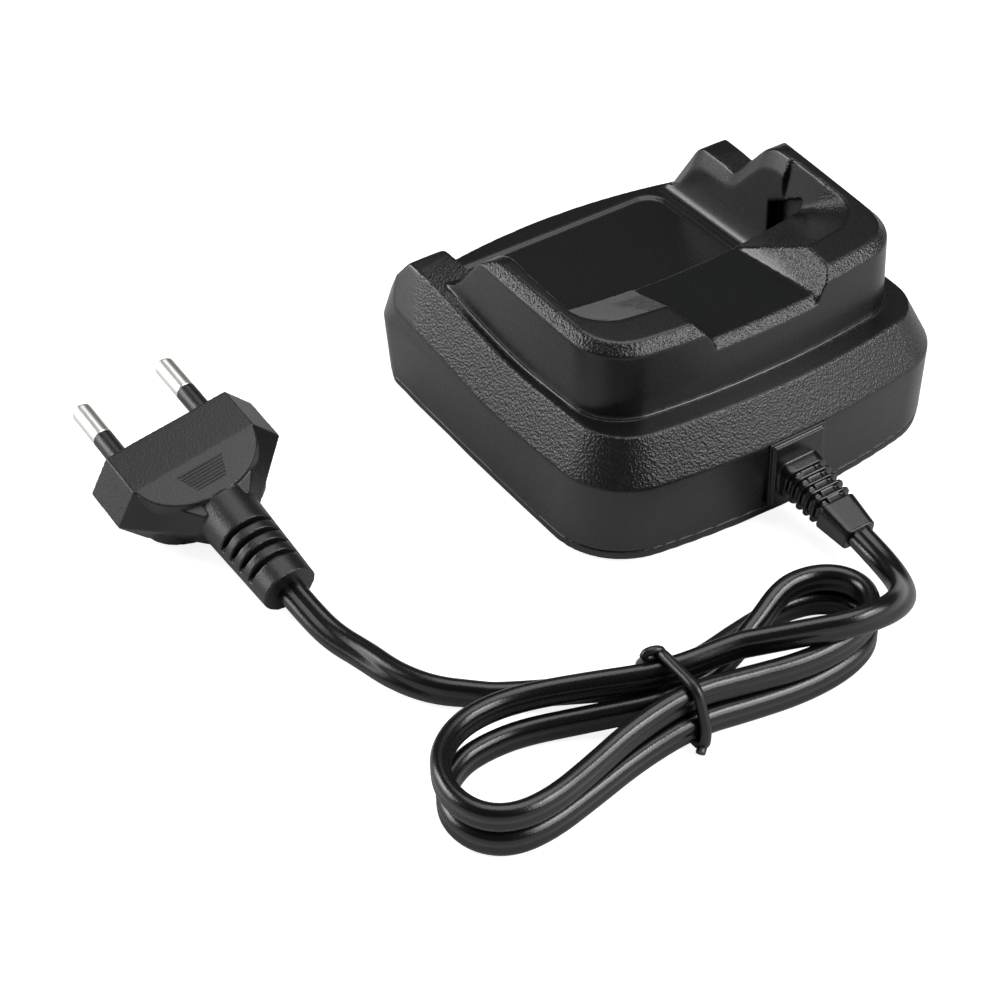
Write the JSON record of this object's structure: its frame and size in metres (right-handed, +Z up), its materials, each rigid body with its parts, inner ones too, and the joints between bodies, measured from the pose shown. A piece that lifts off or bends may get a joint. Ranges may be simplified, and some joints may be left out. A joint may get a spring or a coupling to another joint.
{
  "type": "two-way radio charger",
  "caption": "Desk charger for a handheld radio: open-front pocket with sprung contacts, belt-clip slot in the back wall, strain relief, tied hank of mains cord and moulded flat plug.",
  "frame": {"origin": "on the table, under the middle of the charger's case", "axes": "+Z up; -Y towards the charger's low front edge; +Y towards the cord's exit; the case is symmetric across X = 0"},
  "size_m": [0.1491, 0.1319, 0.0427],
  "materials": {
    "housing_plastic": "black, leather-grain on the shoulder band, satin elsewhere",
    "cover_plastic": "black, fine matte",
    "foot_rubber": "dull",
    "screw_steel": "zinc plated",
    "plate_film": "bare film, satin",
    "board_laminate": "satin solder mask",
    "ferrite": "dull",
    "winding_tape": "glossy film",
    "capacitor_sleeve": "shrink sleeve",
    "fuse_glass": "clear",
    "black_epoxy": "moulded",
    "lamp_lens": "milky",
    "light_pipe": "clear acrylic",
    "block_plastic": "moulded",
    "contact_metal": "gold flashed",
    "spring_steel": "drawn wire",
    "cord_vinyl": "satin vinyl",
    "wire_vinyl": "satin vinyl",
    "tie_plastic": "coated wire",
    "plug_vinyl": "moulded vinyl, satin",
    "pin_nickel": "polished nickel",
    "sleeve_plastic": "smooth"
  },
  "bodies": {
    "case": {"top_housing": "housing_plastic", "bottom_cover": "cover_plastic", "rubber_feet": "foot_rubber", "case_screws": "screw_steel", "rating_plate": "plate_film", "circuit_board": "board_laminate", "board_screws": "screw_steel", "transformer_core": "ferrite", "transformer_winding": "winding_tape", "mains_capacitor": "capacitor_sleeve", "output_capacitor": "capacitor_sleeve", "fuse": "fuse_glass", "rectifier_diodes": "black_epoxy", "control_chip": "black_epoxy", "indicator_lamp": "lamp_lens", "light_pipe": "light_pipe", "contact_block": "block_plastic", "left_contact_spring": "spring_steel", "right_contact_spring": "spring_steel", "contact_terminals": "contact_metal", "strain_relief": "cord_vinyl", "cord_clamp": "block_plastic", "mains_wires": "wire_vinyl", "contact_wires": "wire_vinyl", "cord_feed": "cord_vinyl", "cord_hank": "cord_vinyl", "cord_plug_lead": "cord_vinyl", "cord_tie": "tie_plastic", "plug_body": "plug_vinyl", "plug_pins": "pin_nickel", "plug_pin_sleeves": "sleeve_plastic"},
    "left_contact": {"left_contact_pin": "contact_metal"},
    "right_contact": {"right_contact_pin": "contact_metal"}
  },
  "joints": [
    {"name": "left_contact_slide", "type": "slide", "parent": "case", "child": "left_contact", "axis": [0, 1, 0], "range_m": [0, 0.0015], "stiffness_N_per_m": 600, "springref_m": -0.0008, "deforming": ["left_contact_spring"]},
    {"name": "right_contact_slide", "type": "slide", "parent": "case", "child": "right_contact", "axis": [0, 1, 0], "range_m": [0, 0.0015], "stiffness_N_per_m": 600, "springref_m": -0.0008, "deforming": ["right_contact_spring"]}
  ]
}
